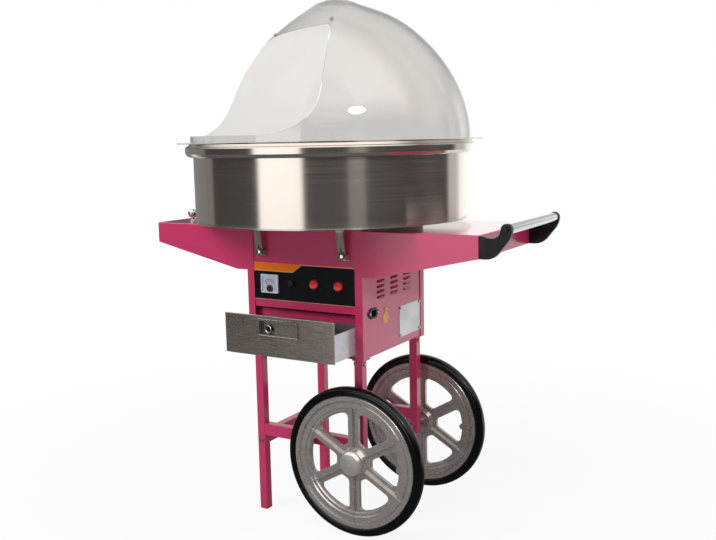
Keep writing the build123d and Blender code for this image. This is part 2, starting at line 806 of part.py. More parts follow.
def make_rocker(x):
    """A ball-sided rocker with two flat paddles, resting pressed at its lower end."""
    pivot = facing_front(x, rocker_y, switch_z)
    with BuildPart() as rocker:
        with Locations(pivot):
            Sphere(rocker_r)
        with BuildSketch(pivot):
            Rectangle(4 * rocker_r, 4 * rocker_r)
        extrude(amount=-2 * rocker_r, mode=Mode.SUBTRACT)
        for tilt in (0.0, -2 * rocker_tilt):
            cut = Plane(
                origin=(cart_x + x, rocker_y - rocker_proud, switch_z),
                x_dir=(1, 0, 0),
                z_dir=(0, -cos(radians(tilt)), -sin(radians(tilt))),
            )
            with BuildSketch(cut):
                with Locations((0, (1 if tilt == 0 else -1) * 2 * rocker_r)):
                    Rectangle(4 * rocker_r, 4 * rocker_r)
            extrude(amount=2 * rocker_r, mode=Mode.SUBTRACT)
        with Locations(facing_right(x, rocker_y, switch_z)):
            Cylinder(rocker_pin_r, 2 * (switch_bore_r + 1.0))
    return rocker.part


save(make_rocker(switch_left_x), "rocker_left")
save(make_rocker(switch_right_x), "rocker_right")

# ---------------------------------------------------------------- right side fittings
with BuildPart() as power_inlet:
    with BuildSketch(facing_right(panel_x, inlet_y, inlet_z)):
        RectangleRounded(inlet_wide + 4, inlet_high + 4, 3)
        SlotCenterToCenter(37, 12)
    extrude(amount=3)
    with BuildSketch(facing_right(panel_x, inlet_y, inlet_z)):
        RectangleRounded(inlet_wide, inlet_high, 3)
    extrude(amount=-20)
    with BuildSketch(facing_right(panel_x + 3, inlet_y, inlet_z)):
        RectangleRounded(inlet_wide - 5, inlet_high - 5, 3)
    extrude(amount=-18, mode=Mode.SUBTRACT)
    with BuildSketch(facing_right(panel_x - 15, inlet_y, inlet_z)):
        with Locations((-7, -1), (0, 3), (7, -1)):
            Rectangle(2, 4)
    extrude(amount=12)
    add_holes([(panel_x + 3, y, z) for y, z in inlet_screws], facing_right, screw_r + bolt_gap, 8)
save(power_inlet.part, "power_inlet")

with BuildPart() as earth_tag:
    with BuildSketch(facing_right(panel_x, tag_y, tag_z)):
        Circle(tag_r)
        with Locations((0, tag_r + 7)):
            Circle(5.5)
        with Locations((0, (tag_r + 7) / 2)):
            Rectangle(6, tag_r + 7)
        with Locations((0, tag_r + 7)):
            Circle(screw_r + bolt_gap, mode=Mode.SUBTRACT)
    extrude(amount=plate_thick)
save(earth_tag.part, "earth_tag")

with BuildPart() as rating_plate:
    with BuildSketch(facing_right(panel_x, plate_y, plate_z)):
        RectangleRounded(plate_long, plate_high, 2)
    extrude(amount=plate_thick)
    add_holes([(panel_x, y, z) for y, z in plate_screws], facing_right, screw_r + bolt_gap, 4)
save(rating_plate.part, "rating_plate")

with BuildPart() as panel_screws:
    seats = [(panel_x + plate_thick, y, z) for y, z in plate_screws + [tag_screw]]
    seats += [(panel_x + 3, y, z) for y, z in inlet_screws]
    for seat in seats:
        add_bolt(facing_right(*seat), 6 + seat[0] - panel_x, screw_r, 3.6, 2.0)
save(panel_screws.part, "panel_screws")

# ---------------------------------------------------------------- latches
pin_r = 2.0
latch_pivot_y = front_y - latch_pivot_out
ear_thick = 2.0
block_high = 18.0
with BuildPart() as latch_blocks:
    for side in (-1, 1):
        x = side * latch_x
        with BuildSketch(facing_front(x, front_y, latch_pivot_z)):
            Rectangle(latch_wide + 2 * ear_thick + 1, block_high)
        extrude(amount=ear_thick)
        for ear in (-1, 1):
            ear_x = x + ear * (latch_wide + ear_thick + 1) / 2
            with BuildSketch(facing_right(ear_x, latch_pivot_y, latch_pivot_z)):
                Circle(6)
                with Locations(((front_y - latch_pivot_y) / 2, 0)):
                    Rectangle(front_y - latch_pivot_y, 12)
            extrude(amount=ear_thick / 2, both=True)
        with BuildSketch(facing_right(x, latch_pivot_y, latch_pivot_z)):
            Circle(pin_r)
        extrude(amount=(latch_wide + 2 * ear_thick + 1) / 2, both=True)
save(latch_blocks.part, "latch_blocks")

keeper_y = front_y - 20.0
keeper_low_z = table_z - 3.0
strap_thick = 2.0
strap_top_z = keeper_low_z + 11.0


def make_latch(x):
    foot = (latch_pivot_y - 2, latch_pivot_z + 2)
    top = (keeper_y - slide_gap - strap_thick, strap_top_z)
    with BuildPart() as latch:
        with BuildSketch(facing_right(x, latch_pivot_y, latch_pivot_z)):
            Circle(5)
            Circle(pin_r + running, mode=Mode.SUBTRACT)
        extrude(amount=latch_wide / 2, both=True)
        with BuildSketch(facing_right(x, 0, 0)):
            with BuildLine():
                Polyline(
                    (foot[0] - strap_thick, foot[1] + 1),
                    (top[0], top[1] - 12),
                    top,
                    (top[0] + strap_thick, top[1]),
                    (top[0] + strap_thick, top[1] - 12),
                    (foot[0] + 1, foot[1] + 2),
                    close=True,
                )
            make_face()
        extrude(amount=latch_wide / 2, both=True)
        with BuildSketch(facing_front(x, latch_pivot_y, latch_pivot_z + 17)):
            SlotCenterToCenter(8, 4, rotation=90)
        extrude(amount=30, both=True, mode=Mode.SUBTRACT)
    return latch.part


save(make_latch(-latch_x), "latch_left")
save(make_latch(latch_x), "latch_right")

# ---------------------------------------------------------------- bowl
bowl_axis = Axis((bowl_x, 0, 0), (0, 0, 1))
bowl_plane = Plane(origin=(bowl_x, 0, 0), x_dir=(1, 0, 0), z_dir=(0, -1, 0))
half_sheet = bowl_sheet / 2
with BuildPart() as bowl:
    with BuildSketch(bowl_plane):
        with BuildLine() as sheet_line:
            floor = bowl_floor_z + half_sheet
            wall = bowl_r - half_sheet
            bead_low = bowl_rim_z - bowl_bead_height + half_sheet
            bead_high = bowl_rim_z - half_sheet
            bead_out = bowl_rim_r - half_sheet
            Polyline(
                (bowl_collar_r, floor + bowl_collar_height), (bowl_collar_r, floor), (bowl_r + bowl_lip, floor)
            )
            Polyline(
                (wall, floor),
                (wall, bead_high),
                (wall + 9, bead_high),
                (wall + 12, bead_high - 5),
                (bead_out - 1, bead_high - 7),
                (bead_out, bead_high - 9),
                (bead_out, bead_low + 8),
                (bead_out - 5, bead_low + 2),
                (bead_out - 9, bead_low),
                (wall + 3, bead_low),
            )
        trace(line_width=bowl_sheet)
    revolve(axis=bowl_axis)
save(bowl.part, "bowl")

keeper_foot = 12.0
with BuildPart() as latch_keepers:
    for side in (-1, 1):
        with BuildSketch(facing_front(side * latch_x, keeper_y, (keeper_low_z + bowl_floor_z) / 2)):
            Rectangle(latch_wide + 4, bowl_floor_z - keeper_low_z)
        extrude(amount=-strap_thick)
        with BuildSketch(cart_plane(side * latch_x, keeper_y + (strap_thick + keeper_foot) / 2, bowl_floor_z)):
            Rectangle(latch_wide + 4, strap_thick + keeper_foot)
        extrude(amount=-sheet)
save(latch_keepers.part, "latch_keepers")


# ---------------------------------------------------------------- dome
def dome_height(radius, shell_r, rise):
    """Height of the dome's curve over its springing at a radius."""
    return rise * (1 - (radius / shell_r) ** dome_roundness) ** (1 / dome_roundness)


def add_dome_solid(shell_r, rise, low_z):
    shares = (0.985, 0.93, 0.82, 0.65, 0.45, 0.22)
    points = [(shell_r * share, dome_spring_z + dome_height(shell_r * share, shell_r, rise)) for share in shares]
    with BuildSketch(bowl_plane) as profile:
        with BuildLine():
            Polyline((0, dome_spring_z + rise), (0, low_z), (shell_r, low_z), (shell_r, dome_spring_z))
            Spline(
                (shell_r, dome_spring_z),
                *points,
                (0, dome_spring_z + rise),
                tangents=((0, 1), (-1, 0)),
            )
        make_face()
    revolve(profile.sketch, axis=bowl_axis)


heading = radians(opening_heading)
out_dir = Vector(cos(heading), sin(heading), 0)
side_dir = Vector(-sin(heading), cos(heading), 0)
slope = radians(visor_slope)
visor_normal = out_dir * sin(slope) + Vector(0, 0, 1) * cos(slope)
visor_edge = Vector(bowl_x, 0, visor_low_z) + out_dir * visor_out
visor_plane = Plane(origin=visor_edge, x_dir=side_dir, z_dir=visor_normal)
visor_section = Plane(origin=visor_edge, x_dir=side_dir, z_dir=visor_plane.y_dir * -1)
visor_r = (visor_half**2 + visor_crown**2) / (2 * visor_crown)
opening_plane = Plane(origin=(bowl_x, 0, 0), x_dir=out_dir, z_dir=side_dir * -1)
far = 2 * dome_r
dome_seat_z = bowl_rim_z + slide_gap

edge_tilt = radians(opening_edge_slope)
corner_high_z = dome_ring_z + opening_corner_r * (1 - cos(edge_tilt))
top_tilt = acos(cos(edge_tilt) + (visor_low_z - corner_high_z) / opening_edge_r)
middle_tilt = (edge_tilt + top_tilt) / 2
corner_start = visor_out + opening_edge_r * (sin(edge_tilt) - sin(top_tilt))
corner_end = corner_start + opening_corner_r * sin(edge_tilt)


rivet_r = 2.5
rivet_head = 2.0
rivet_seat = 0.05  # play under the inner head
rivet_inset = 24.0  # from the visor's ends
rivet_up = 16.0  # from the visor's lower edge
rivet_across = visor_half - rivet_inset
rivet_lean = degrees(atan2(rivet_across, visor_r))
rivet_level = visor_crown - visor_r + sqrt(visor_r**2 - rivet_across**2)
rivet_seats = [
    visor_plane * Location((side * rivet_across, rivet_up, rivet_level), (0, side * rivet_lean, 0))
    for side in (-1, 1)
]


def cut_over_visor(inset):
    """Take away what lies over the visor's crowned sheet, lowered by an inset."""
    radius = visor_r - inset
    centre = visor_crown - visor_r
    half = 0.6 * far
    end = centre + sqrt(radius**2 - half**2)
    with BuildSketch(visor_section) as over:
        with BuildLine():
            ThreePointArc((-half, end), (0, centre + radius), (half, end))
            Polyline((half, end), (half, far), (-half, far), (-half, end))
        make_face()
    extrude(over.sketch, amount=2 * far, both=True, mode=Mode.SUBTRACT)


with BuildPart() as dome:
    add_dome_solid(dome_r, dome_rise, dome_seat_z)
    cut_over_visor(0)
    with BuildSketch(Plane(origin=(bowl_x, 0, dome_seat_z))):
        Circle(dome_flange_r)
    extrude(amount=dome_wall)
    with BuildPart(mode=Mode.PRIVATE) as inside:
        add_dome_solid(dome_r - dome_wall, dome_rise - dome_wall, dome_seat_z - 5)
        cut_over_visor(dome_wall)
    add(inside.part, mode=Mode.SUBTRACT)
    with BuildSketch(opening_plane):
        with BuildLine():
            start = (visor_out, visor_low_z)
            ThreePointArc(
                start,
                (
                    corner_start - opening_edge_r * (sin(edge_tilt) - sin(middle_tilt)),
                    corner_high_z - opening_edge_r * (cos(edge_tilt) - cos(middle_tilt)),
                ),
                (corner_start, corner_high_z),
            )
            ThreePointArc(
                (corner_start, corner_high_z),
                (
                    corner_end - opening_corner_r * sin(edge_tilt / 2),
                    dome_ring_z + opening_corner_r * (1 - cos(edge_tilt / 2)),
                ),
                (corner_end, dome_ring_z),
            )
            Polyline(
                (corner_end, dome_ring_z),
                (far, dome_ring_z),
                (far, visor_low_z),
                start,
            )
        make_face()
    extrude(amount=far, both=True, mode=Mode.SUBTRACT)
    for seat in rivet_seats:
        with Locations(seat):
            Cylinder(rivet_r + bolt_gap, 4 * dome_wall, mode=Mode.SUBTRACT)
save(dome.part, "dome")

with BuildPart() as dome_rivets:
    for seat in rivet_seats:
        for low, radius, height in (
            (0, 2 * rivet_r, rivet_head),
            (-dome_wall - rivet_seat, rivet_r, dome_wall + rivet_seat),
            (-dome_wall - rivet_seat - rivet_head, 2 * rivet_r, rivet_head),
        ):
            with Locations(seat * Location((0, 0, low + height / 2))):
                Cylinder(radius, height)
save(dome_rivets.part, "dome_rivets")

# ---------------------------------------------------------------- motor and spinning head
motor_low_z = motor_top_z - motor_high
with BuildPart() as motor:
    with Locations(cart_plane(bowl_shift, 0, motor_low_z)):
        Cylinder(motor_r, motor_high, align=(Align.CENTER, Align.CENTER, Align.MIN))
        Cylinder(spindle_r + running, motor_high, align=(Align.CENTER, Align.CENTER, Align.MIN), mode=Mode.SUBTRACT)
        Cylinder(motor_r - 6, 8, align=(Align.CENTER, Align.CENTER, Align.MAX))
    fillet(motor.edges().filter_by(GeomType.CIRCLE).sort_by(Axis.Z)[-1], 1)
save(motor.part, "motor")

bracket_half = 48.0
bracket_wall = 3.0
bracket_top_z = top_plate_z - sheet
with BuildPart() as motor_bracket:
    with BuildSketch(facing_front(bowl_shift, 0, 0)):
        with BuildLine():
            Polyline(
                (-bracket_half - 14, bracket_top_z),
                (-bracket_half + bracket_wall, bracket_top_z),
                (-bracket_half + bracket_wall, motor_top_z + bracket_wall),
                (bracket_half - bracket_wall, motor_top_z + bracket_wall),
                (bracket_half - bracket_wall, bracket_top_z),
                (bracket_half + 14, bracket_top_z),
                (bracket_half + 14, bracket_top_z - bracket_wall),
                (bracket_half, bracket_top_z - bracket_wall),
                (bracket_half, motor_top_z),
                (-bracket_half, motor_top_z),
                (-bracket_half, bracket_top_z - bracket_wall),
                (-bracket_half - 14, bracket_top_z - bracket_wall),
                close=True,
            )
        make_face()
    extrude(amount=40, both=True)
    with Locations(cart_plane(bowl_shift, 0, motor_top_z)):
        Cylinder(slip_ring_r, 4 * bracket_wall, mode=Mode.SUBTRACT)
save(motor_bracket.part, "motor_bracket")

ring_low_z = motor_top_z + bracket_wall + 4.0
with BuildPart() as spindle:
    with BuildSketch(bowl_plane):
        with BuildLine():
            outline = [(0, motor_low_z + 1), (spindle_r, motor_low_z + 1), (spindle_r, ring_low_z)]
            z = ring_low_z
            for ring in range(2):
                outline += [(slip_ring_r, z), (slip_ring_r, z + 9), (slip_ring_r - 4, z + 9), (slip_ring_r - 4, z + 12)]
                z += 12
            outline += [(spindle_r, z), (spindle_r, head_low_z - 4), (head_r - 14, head_low_z - 4)]
            outline += [(head_r - 14, head_low_z), (0, head_low_z)]
            Polyline(*outline, close=True)
        make_face()
    revolve(axis=bowl_axis)
save(spindle.part, "spindle")

brush_near = 24.0
with BuildPart() as brush_block:
    with Locations(cart_plane(bowl_shift + brush_near, 0, motor_top_z + bracket_wall)):
        Box(20, 30, 30, align=(Align.MIN, Align.CENTER, Align.MIN))
    for ring in range(2):
        with BuildSketch(facing_right(bowl_shift + brush_near, 0, ring_low_z + 4.5 + 12 * ring)):
            Rectangle(8, 6)
        extrude(amount=-(brush_near - slip_ring_r - slide_gap))
save(brush_block.part, "brush_block")

head_wall = 2.0
with BuildPart() as spinner_head:
    with BuildSketch(bowl_plane):
        with BuildLine():
            Polyline(
                (0, head_low_z),
                (head_r, head_low_z),
                (head_r, head_high_z - 6),
                (head_r - 10, head_high_z),
                (22, head_high_z),
                (22, head_high_z - head_wall),
                (head_r - 11, head_high_z - head_wall),
                (head_r - head_wall, head_high_z - 7),
                (head_r - head_wall, head_low_z + head_wall),
                (0, head_low_z + head_wall),
                close=True,
            )
        make_face()
    revolve(axis=bowl_axis)
    with BuildSketch(Plane(origin=(bowl_x, 0, head_low_z + 14))):
        with PolarLocations(head_r, 36):
            Rectangle(8, 3)
    extrude(amount=head_high_z - head_low_z - 28, mode=Mode.SUBTRACT)
save(spinner_head.part, "spinner_head")

heater_turns = 4
heater_pitch = 8.0
with BuildPart() as heater_ring:
    for turn in range(heater_turns):
        z = head_low_z + 12 + turn * heater_pitch
        with Locations(Plane(origin=(bowl_x, 0, z))):
            Torus(head_r - 10, 1.8)
    with BuildSketch(Plane(origin=(bowl_x, 0, head_low_z + head_wall))):
        with PolarLocations(head_r - 10, 4):
            Rectangle(3, 6)
    extrude(amount=heater_turns * heater_pitch + 8)
save(heater_ring.part, "heater_ring")

# ---------------------------------------------------------------- drawer
pull_wide = 114.0
pull_high = 41.0
pull_z = drawer_high_z - 28.0
pull_deep = 12.0
pull_frame = 4.0
pull_lip = 1.6
pull_floor = 1.2
slot_wide = pull_wide - 2 * pull_frame + 1
slot_high = pull_high - 2 * pull_frame + 1
tray_half = half_w - post_flange - drawer_tray_gap
tray_low_z = drawer_low_z - 1.0
tray_front_y = drawer_front_y + drawer_front_thick
tray_back_y = tray_front_y + drawer_tray_long
runner_top_z = tray_low_z - slide_gap
runner_half_y = half_d - 8.0

with BuildPart() as drawer_tray:
    with BuildSketch(cart_plane(0, (tray_front_y + tray_back_y) / 2, tray_low_z)):
        Rectangle(2 * tray_half, drawer_tray_long)
    extrude(amount=drawer_tray_high_z - tray_low_z)
    with BuildSketch(cart_plane(0, (tray_front_y + tray_back_y) / 2, tray_low_z + sheet)):
        Rectangle(2 * (tray_half - sheet), drawer_tray_long - 2 * sheet)
    extrude(amount=drawer_tray_high_z - tray_low_z, mode=Mode.SUBTRACT)
    with Locations(facing_front(0, tray_front_y, drawer_tray_high_z)):
        Box(slot_wide, 2 * (drawer_tray_high_z - pull_z) + slot_high, 4 * sheet, mode=Mode.SUBTRACT)
save(drawer_tray.part, "drawer_tray")

with BuildPart() as drawer_front:
    with BuildSketch(facing_front(0, drawer_front_y, (drawer_low_z + drawer_high_z) / 2)):
        Rectangle(drawer_width, drawer_high)
    extrude(amount=-drawer_front_thick)
    fillet(drawer_front.faces().sort_by(Axis.Y)[0].edges(), drawer_front_thick / 2)
    with Locations(facing_front(0, drawer_front_y, pull_z)):
        Box(slot_wide, slot_high, 4 * drawer_front_thick, mode=Mode.SUBTRACT)
save(drawer_front.part, "drawer_front")

lock_x = -30.0
lock_z = pull_z - 4.0
lock_r = 9.0
with BuildPart() as drawer_pull:
    with BuildSketch(facing_front(0, drawer_front_y, pull_z)):
        RectangleRounded(pull_wide, pull_high, 3)
    extrude(amount=pull_lip)
    with BuildSketch(facing_front(0, drawer_front_y, pull_z)):
        Rectangle(pull_wide - 2 * pull_frame, pull_high - 2 * pull_frame)
    extrude(amount=-pull_deep)
    with BuildSketch(facing_front(0, drawer_front_y - pull_lip, pull_z)):
        Rectangle(pull_wide - 2 * pull_frame - 2, pull_high - 2 * pull_frame - 2)
    extrude(amount=pull_floor - pull_deep - pull_lip, mode=Mode.SUBTRACT)
    with Locations(facing_front(lock_x, drawer_front_y + pull_deep, lock_z)):
        Cylinder(lock_r - 2 + running, 8, mode=Mode.SUBTRACT)
save(drawer_pull.part, "drawer_pull")

lock_seat_y = drawer_front_y + pull_deep - pull_floor - 0.1
with BuildPart() as drawer_lock:
    with BuildSketch(facing_front(lock_x, lock_seat_y, lock_z)):
        Circle(lock_r)
    extrude(amount=7)
    with BuildSketch(facing_front(lock_x, lock_seat_y, lock_z)):
        Circle(lock_r - 2)
    extrude(amount=-2.6)
    with BuildSketch(facing_front(lock_x, lock_seat_y - 7, lock_z)):
        Rectangle(1.6, 8)
    extrude(amount=-4, mode=Mode.SUBTRACT)
save(drawer_lock.part, "drawer_lock")

with BuildPart() as drawer_runners:
    for side in (-1, 1):
        with BuildSketch(facing_front(0, 0, 0)):
            with BuildLine():
                outer = side * inside_w
                low = body_floor_z + gusset_thick + sheet
                Polyline(
                    (outer, low),
                    (outer, runner_top_z + 7),
                    (outer - side * sheet, runner_top_z + 7),
                    (outer - side * sheet, runner_top_z),
                    (side * (tray_half - 14), runner_top_z),
                    (side * (tray_half - 14), low),
                    close=True,
                )
            make_face()
        extrude(amount=runner_half_y, both=True)
save(drawer_runners.part, "drawer_runners")
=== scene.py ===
"""Looks of the cotton candy cart: a studio, a camera at the photograph's angle, materials and fine pieces."""

import json
import math

import bmesh
import bpy
from mathutils import Matrix, Vector


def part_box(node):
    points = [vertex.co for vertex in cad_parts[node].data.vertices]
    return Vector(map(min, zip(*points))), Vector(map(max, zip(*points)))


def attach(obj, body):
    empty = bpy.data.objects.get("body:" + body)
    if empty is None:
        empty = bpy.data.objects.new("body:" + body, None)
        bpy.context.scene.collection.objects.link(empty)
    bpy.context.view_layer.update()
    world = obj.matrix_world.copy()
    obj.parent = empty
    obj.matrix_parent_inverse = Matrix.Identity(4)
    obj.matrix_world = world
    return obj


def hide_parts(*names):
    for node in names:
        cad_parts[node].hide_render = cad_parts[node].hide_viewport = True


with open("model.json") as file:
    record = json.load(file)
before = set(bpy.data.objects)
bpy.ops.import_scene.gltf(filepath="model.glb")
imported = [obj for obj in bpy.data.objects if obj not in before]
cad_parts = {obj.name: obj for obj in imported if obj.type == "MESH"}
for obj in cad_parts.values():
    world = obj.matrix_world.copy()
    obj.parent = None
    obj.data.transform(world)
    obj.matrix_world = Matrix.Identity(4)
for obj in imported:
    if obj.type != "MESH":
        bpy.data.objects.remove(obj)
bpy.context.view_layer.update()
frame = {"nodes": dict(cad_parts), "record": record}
nodes = frame["nodes"]

CART_X = -0.037
BOWL_X = -0.049
FRONT_Y = -0.159  # face of the control panel
AXLE = (0.106, 0.1825)


# ------------------------------------------------------------------ camera
def make_camera():
    yaw, pitch, roll = (math.radians(a) for a in (30.54, 8.44, -1.1))
    forward = Vector((-math.sin(yaw) * math.cos(pitch), math.cos(yaw) * math.cos(pitch), -math.sin(pitch)))
    right = Vector((math.cos(yaw), math.sin(yaw), 0))
    up = right.cross(forward)
    right_rolled = math.cos(roll) * right + math.sin(roll) * up
    up_rolled = -math.sin(roll) * right + math.cos(roll) * up
    camera = bpy.data.objects.new("camera", bpy.data.cameras.new("camera"))
    camera.data.sensor_width = 36
    camera.data.lens = 45.43
    turn = Matrix((right_rolled, up_rolled, -forward)).transposed()
    camera.matrix_world = Matrix.Translation((1.1673, -1.9392, 0.9489)) @ turn.to_4x4()
    bpy.context.scene.collection.objects.link(camera)
    bpy.context.scene.camera = camera


# ------------------------------------------------------------------ node helpers
def srgb(r, g, b):
    """Linear colour of an 8-bit screen colour."""
    return tuple(((c / 255 + 0.055) / 1.055) ** 2.4 if c > 10 else c / 255 / 12.92 for c in (r, g, b))


class Tree:
    """Short calls for building a node tree."""

    def __init__(self, tree):
        self.tree = tree

    def add(self, kind, inputs=(), **settings):
        node = self.tree.nodes.new("ShaderNode" + kind)
        for key, value in settings.items():
            setattr(node, key, value)
        for key, value in dict(inputs).items():
            if isinstance(value, bpy.types.NodeSocket):
                self.tree.links.new(value, node.inputs[key])
            else:
                node.inputs[key].default_value = value
        return node

    def math(self, operation, a, b=0.0, clamp=False):
        return self.add("Math", {0: a, 1: b}, operation=operation, use_clamp=clamp).outputs[0]

    def mix(self, factor, a, b):
        node = self.add("Mix", data_type="RGBA")
        for index, value in ((0, factor), (6, a), (7, b)):
            if isinstance(value, bpy.types.NodeSocket):
                self.tree.links.new(value, node.inputs[index])
            elif index == 0:
                node.inputs[0].default_value = value
            else:
                node.inputs[index].default_value = (*value, 1)
        return node.outputs[2]

    def noise(self, scale, stretch=(1, 1, 1), detail=3.0):
        where = self.add("TexCoord").outputs["Object"]
        mapped = self.add("Mapping", {"Vector": where, "Scale": stretch}).outputs[0]
        return self.add("TexNoise", {"Vector": mapped, "Scale": scale, "Detail": detail}).outputs[0]

    def spread(self, value, low, high):
        return self.add("MapRange", {"Value": value, 1: 0.3, 2: 0.7, 3: low, 4: high}).outputs[0]


def new_material(name):
    made = bpy.data.materials.new(name)
    made.use_nodes = True
    made.node_tree.nodes.clear()
    tree = Tree(made.node_tree)
    return made, tree


def finish_material(tree, shader, bump=None):
    output = tree.add("OutputMaterial")
    tree.tree.links.new(shader.outputs[0], output.inputs["Surface"])
    if bump is not None:
        height, strength, distance = bump
        node = tree.add("Bump", {"Height": height, "Strength": strength, "Distance": distance})
        tree.tree.links.new(node.outputs[0], shader.inputs["Normal"])


def surface(
    name,
    color,
    rough=(0.4, 0.5),
    metallic=0.0,
    vary=0.06,
    scale=12.0,
    stretch=(1, 1, 1),
    bump=(600.0, 0.1, 0.0003),
    **constants,
):
    """A material whose colour, roughness and relief vary a little; constants go on the shader's sockets."""
    made, tree = new_material(name)
    broad = tree.noise(scale, stretch)
    darker = tuple(c * (1 - vary) for c in color)
    lighter = tuple(min(1.0, c * (1 + vary)) for c in color)
    shader = tree.add(
        "BsdfPrincipled",
        {
            "Base Color": tree.mix(tree.spread(broad, 0, 1), darker, lighter),
            "Roughness": tree.spread(tree.noise(scale * 3, stretch), *rough),
            "Metallic": metallic,
            **constants,
        },
    )
    grain_scale, strength, distance = bump
    finish_material(tree, shader, (tree.noise(grain_scale, stretch), strength, distance))
    return made


def brushed(
    name,
    color,
    rough=0.25,
    stretch=(1, 1, 60),
    along="Z",
    turn=0.25,
    anisotropic=0.7,
    grain=40.0,
    vary=0.12,
    relief=0.04,
):
    """Metal brushed so that its streaks are thin along the stretched axis."""
    made, tree = new_material(name)
    streaks = tree.noise(grain, stretch, 4.0)
    soft = tree.noise(5.0, (1, 1, 1), 2.0)
    tone = tree.math("ADD", tree.math("MULTIPLY", streaks, 0.7), tree.math("MULTIPLY", soft, 0.3))
    darker = tuple(c * (1 - vary) for c in color)
    lighter = tuple(min(1.0, c * (1 + vary)) for c in color)
    shader = tree.add(
        "BsdfPrincipled",
        {
            "Base Color": tree.mix(tree.spread(tone, 0, 1), darker, lighter),
            "Roughness": tree.spread(streaks, rough * 0.85, rough * 1.2),
            "Metallic": 1.0,
            "Anisotropic": anisotropic,
            "Anisotropic Rotation": turn,
        },
    )
    tangent = tree.add("Tangent", direction_type="RADIAL", axis=along)
    tree.tree.links.new(tangent.outputs[0], shader.inputs["Tangent"])
    finish_material(tree, shader, (streaks, relief, 0.00003))
    return made


# ------------------------------------------------------------------ materials
PINK = srgb(192, 48, 96)
pink = surface(
    "pink powder coat", PINK, rough=(0.3, 0.33), vary=0.012, scale=6.0, bump=(900.0, 0.08, 0.0001),
    **{"Coat Weight": 1.0, "Coat Roughness": 0.06, "Coat IOR": 1.4},
)
bowl_steel = brushed(
    "bowl steel", srgb(212, 203, 194), rough=0.2, stretch=(0.12, 0.12, 30), anisotropic=0.85,
    grain=30.0, vary=0.08,
)
drawer_steel = brushed(
    "drawer steel", srgb(202, 193, 184), rough=0.26, stretch=(0.6, 10, 10), along="X", turn=0.0,
    anisotropic=0.8, grain=60.0, vary=0.1, relief=0.012,
)
pull_steel = surface(
    "pull steel", srgb(160, 153, 144), rough=(0.22, 0.3), metallic=0.85, vary=0.05, scale=50.0,
    stretch=(1, 1, 4), bump=(200.0, 0.04, 0.0001),
)
tray_steel = surface(
    "pale drawer sheet", srgb(206, 208, 214), rough=(0.26, 0.36), metallic=0.6, vary=0.05, scale=30.0,
    bump=(400.0, 0.05, 0.0001),
)
chrome = surface(
    "chrome", srgb(205, 205, 208), rough=(0.08, 0.14), metallic=1.0, vary=0.03, bump=(300.0, 0.03, 0.0002)
)
latch_metal = surface(
    "nickel latch", srgb(186, 176, 156), rough=(0.18, 0.28), metallic=0.75, vary=0.14, scale=40.0,
    stretch=(3, 3, 0.6), bump=(200.0, 0.05, 0.0002),
)
zinc = surface("bright zinc", srgb(190, 192, 196), rough=(0.25, 0.38), metallic=1.0, vary=0.1, scale=60.0)
zinc_plate = surface("zinc plate", srgb(150, 152, 156), rough=(0.4, 0.5), metallic=1.0, vary=0.12, scale=40.0)
bracket_black = surface(
    "black paint", srgb(12, 11, 14), rough=(0.24, 0.34), vary=0.2, **{"Specular IOR Level": 0.25}
)
black_plastic = surface("black plastic", srgb(18, 18, 19), rough=(0.35, 0.5), vary=0.2, scale=80.0)
wheel_paint = surface(
    "silver wheel paint", srgb(196, 190, 185), rough=(0.2, 0.28), metallic=0.74, vary=0.08, scale=60.0,
    bump=(1500.0, 0.14, 0.0001),
)
cap_silver = surface(
    "silver cap", srgb(216, 212, 208), rough=(0.28, 0.36), metallic=0.75, vary=0.05, scale=30.0
)
rubber = surface(
    "tyre rubber", srgb(4, 4, 6), rough=(0.14, 0.2), vary=0.25, scale=25.0, bump=(800.0, 0.1, 0.0001),
    **{"Specular IOR Level": 0.35},
)
head_metal = brushed("turned aluminium", srgb(196, 196, 194), rough=0.3)
coil_metal = surface("heater coil", srgb(96, 84, 76), rough=(0.4, 0.6), metallic=1.0, vary=0.3, scale=60.0)
motor_grey = surface("motor enamel", srgb(70, 74, 78), rough=(0.4, 0.5), vary=0.1)
insulator = surface("brown insulator", srgb(92, 58, 38), rough=(0.4, 0.5), vary=0.15)
needle_red = surface("needle red", srgb(176, 20, 18), rough=(0.4, 0.5))
plate_metal = brushed("blank plate", srgb(206, 206, 206), rough=0.32, along="X", anisotropic=0.4)
tag_yellow = surface("plain tag", srgb(232, 168, 96), rough=(0.4, 0.5), vary=0.06, scale=50.0)
rocker_red = surface(
    "red rocker", srgb(214, 34, 36), rough=(0.18, 0.28), vary=0.1, scale=90.0,
    **{"Subsurface Weight": 0.15, "Coat Weight": 0.5},
)


BAND_STEP_X = CART_X - 0.028  # where the orange band's lower edge steps up
BAND_LOW_Z, BAND_HIGH_Z = 0.6245, 0.6435
LINE_LOW_Z, LINE_HIGH_Z = 0.5532, 0.5548


